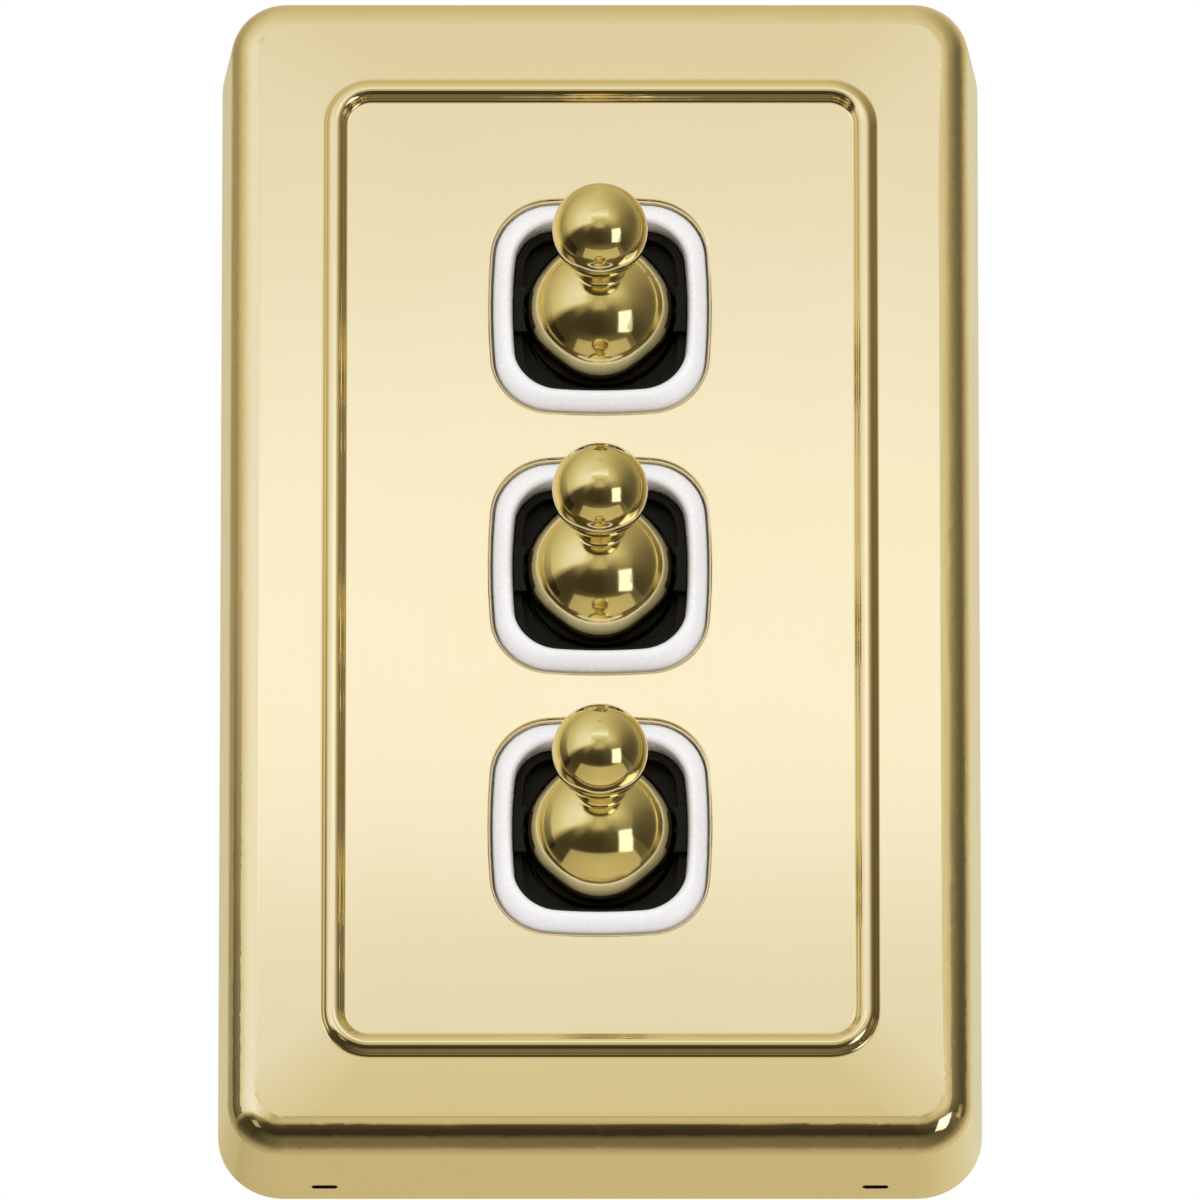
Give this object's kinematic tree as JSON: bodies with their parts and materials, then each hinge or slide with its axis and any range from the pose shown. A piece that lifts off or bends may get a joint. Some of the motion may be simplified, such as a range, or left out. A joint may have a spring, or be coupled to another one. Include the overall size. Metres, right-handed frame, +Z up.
{
  "type": "toggle light switch",
  "caption": "Wall light switch: a column of ball-ended toggles in white bezels on a beaded, polished-brass cover plate that clips over a screwed mounting base.",
  "frame": {"origin": "the middle of the wall plane, halfway between the two fixing screws", "axes": "+Z up the wall, -Y out of the wall towards the user, +X to the right seen from the front"},
  "size_m": [0.07, 0.0473, 0.115],
  "materials": {
    "polished_brass": "polished and lacquered brass",
    "white_plastic": "moulded white urea plastic",
    "base_plastic": "moulded pale grey plastic",
    "contact_plastic": "moulded off-white plastic",
    "black_plastic": "moulded black plastic",
    "nylon": "natural nylon",
    "plated_steel": "zinc-plated steel",
    "spring_steel": "drawn spring wire",
    "contact_copper": "stamped copper",
    "contact_silver": "silver contact rivets",
    "terminal_brass": "machined brass"
  },
  "bodies": {
    "wall_plate": {"cover_plate": "polished_brass", "mounting_base": "base_plastic", "fixing_screws": "plated_steel", "mechanism_screws": "plated_steel", "upper_case": "white_plastic", "upper_contact_base": "contact_plastic", "upper_bearing_insert": "black_plastic", "upper_pivot_pin": "plated_steel", "upper_fixed_contacts": "contact_silver", "upper_common_terminal": "terminal_brass", "upper_up_terminal": "terminal_brass", "upper_down_terminal": "terminal_brass", "upper_terminal_screws": "plated_steel", "middle_case": "white_plastic", "middle_contact_base": "contact_plastic", "middle_bearing_insert": "black_plastic", "middle_pivot_pin": "plated_steel", "middle_fixed_contacts": "contact_silver", "middle_common_terminal": "terminal_brass", "middle_up_terminal": "terminal_brass", "middle_down_terminal": "terminal_brass", "middle_terminal_screws": "plated_steel", "lower_case": "white_plastic", "lower_contact_base": "contact_plastic", "lower_bearing_insert": "black_plastic", "lower_pivot_pin": "plated_steel", "lower_fixed_contacts": "contact_silver", "lower_common_terminal": "terminal_brass", "lower_up_terminal": "terminal_brass", "lower_down_terminal": "terminal_brass", "lower_terminal_screws": "plated_steel"},
    "upper_toggle": {"upper_dolly": "polished_brass", "upper_dolly_tail": "nylon", "upper_dolly_spring": "spring_steel", "upper_plunger": "nylon"},
    "upper_rocker": {"upper_rocker_contact": "contact_copper", "upper_moving_contacts": "contact_silver"},
    "middle_toggle": {"middle_dolly": "polished_brass", "middle_dolly_tail": "nylon", "middle_dolly_spring": "spring_steel", "middle_plunger": "nylon"},
    "middle_rocker": {"middle_rocker_contact": "contact_copper", "middle_moving_contacts": "contact_silver"},
    "lower_toggle": {"lower_dolly": "polished_brass", "lower_dolly_tail": "nylon", "lower_dolly_spring": "spring_steel", "lower_plunger": "nylon"},
    "lower_rocker": {"lower_rocker_contact": "contact_copper", "lower_moving_contacts": "contact_silver"}
  },
  "joints": [
    {"name": "upper_toggle_tilt", "type": "hinge", "parent": "wall_plate", "child": "upper_toggle", "pos_m": [0, -0.01, 0.0256], "axis": [1, 0, 0], "range_deg": [0, 40]},
    {"name": "upper_rocker_tip", "type": "hinge", "parent": "wall_plate", "child": "upper_rocker", "pos_m": [0, 0.0065, 0.0256], "axis": [1, 0, 0], "range_deg": [-16, 0]},
    {"name": "middle_toggle_tilt", "type": "hinge", "parent": "wall_plate", "child": "middle_toggle", "pos_m": [0, -0.01, 0], "axis": [1, 0, 0], "range_deg": [0, 40]},
    {"name": "middle_rocker_tip", "type": "hinge", "parent": "wall_plate", "child": "middle_rocker", "pos_m": [0, 0.0065, 0], "axis": [1, 0, 0], "range_deg": [-16, 0]},
    {"name": "lower_toggle_tilt", "type": "hinge", "parent": "wall_plate", "child": "lower_toggle", "pos_m": [0, -0.01, -0.0256], "axis": [1, 0, 0], "range_deg": [0, 40]},
    {"name": "lower_rocker_tip", "type": "hinge", "parent": "wall_plate", "child": "lower_rocker", "pos_m": [0, 0.0065, -0.0256], "axis": [1, 0, 0], "range_deg": [-16, 0]}
  ],
  "couplings": [
    {"joint": "upper_rocker_tip", "follows": "upper_toggle_tilt", "ratio": -0.4},
    {"joint": "middle_rocker_tip", "follows": "middle_toggle_tilt", "ratio": -0.4},
    {"joint": "lower_rocker_tip", "follows": "lower_toggle_tilt", "ratio": -0.4}
  ]
}
